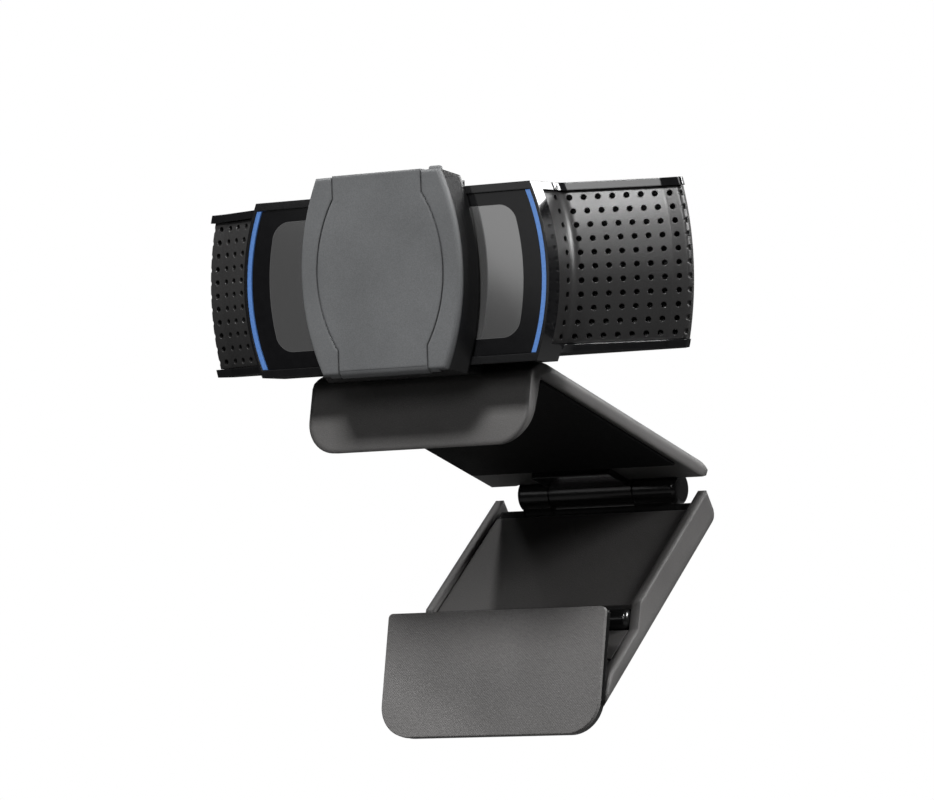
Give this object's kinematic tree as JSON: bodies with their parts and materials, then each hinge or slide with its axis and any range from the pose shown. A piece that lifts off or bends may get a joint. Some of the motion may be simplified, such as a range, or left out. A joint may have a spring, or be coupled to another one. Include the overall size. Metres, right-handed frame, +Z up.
{
  "type": "webcam with monitor clip",
  "caption": "Wide webcam with a hinged privacy shutter and perforated wings, on a folding monitor clip with a tripod thread.",
  "frame": {"origin": "inside corner of the clip, where the top front edge of a screen sits, on the middle plane", "axes": "+X across the camera to its right as seen from the front, +Y from the face to the back, +Z up"},
  "size_m": [0.092, 0.0755, 0.0927],
  "materials": {
    "gloss_black": "polished",
    "face_gloss": "polished",
    "matt_black": "fine spark texture",
    "shutter_grey": "soft satin",
    "grille": "satin",
    "rubber": "matt",
    "light_guide": "translucent",
    "lens_glass": "coated",
    "dark_inner": "matt",
    "board": "solder mask",
    "cloth": "woven",
    "steel": "satin",
    "brass": "satin"
  },
  "bodies": {
    "clip": {"clip_bracket": "matt_black", "lip_pad": "rubber", "arm_pad": "rubber", "arm_knuckle": "matt_black"},
    "head": {"front_shell": "gloss_black", "rear_shell": "matt_black", "cable_inlet": "rubber", "face_plate": "face_gloss", "right_light_guide": "light_guide", "left_light_guide": "light_guide", "right_light_board": "board", "left_light_board": "board", "chassis": "gloss_black", "lens_ring": "gloss_black", "lens_barrel": "dark_inner", "front_glass": "lens_glass", "rear_glass": "lens_glass", "focus_coil": "dark_inner", "infrared_filter": "lens_glass", "image_sensor": "dark_inner", "main_board": "board", "board_chips": "dark_inner", "board_screws": "steel", "shield_plate": "steel", "right_grille": "grille", "left_grille": "grille", "right_cloth": "cloth", "left_cloth": "cloth", "right_microphone": "board", "left_microphone": "board", "tilt_yoke": "steel", "tilt_pin": "steel", "yoke_screws": "steel", "tilt_washers": "steel", "shutter_frame": "shutter_grey", "shutter_pin": "steel"},
    "flap": {"shutter_flap": "shutter_grey"},
    "leg": {"leg_shell": "matt_black", "leg_knuckles": "matt_black", "leg_hinge_pin": "steel", "leg_cover": "matt_black", "cross_bar": "matt_black", "bay_floor": "matt_black", "tripod_bush": "brass", "foot_hinge_pin": "steel"},
    "foot": {"foot_plate": "matt_black", "foot_pad": "rubber"}
  },
  "joints": [
    {"name": "head_tilt", "type": "hinge", "parent": "clip", "child": "head", "pos_m": [0, 0.002, 0.0035], "axis": [1, 0, 0], "range_deg": [-12, 10]},
    {"name": "shutter_flip", "type": "hinge", "parent": "head", "child": "flap", "pos_m": [0, -0.01375, 0.0021], "axis": [1, 0, 0], "range_deg": [0, 150]},
    {"name": "leg_fold", "type": "hinge", "parent": "clip", "child": "leg", "pos_m": [0, 0.0575, -0.018], "axis": [1, 0, 0], "range_deg": [-40.5, 80]},
    {"name": "foot_fold", "type": "hinge", "parent": "leg", "child": "foot", "pos_m": [0, 0.01924, -0.05074], "axis": [1, 0, 0], "range_deg": [-41, 9]}
  ]
}
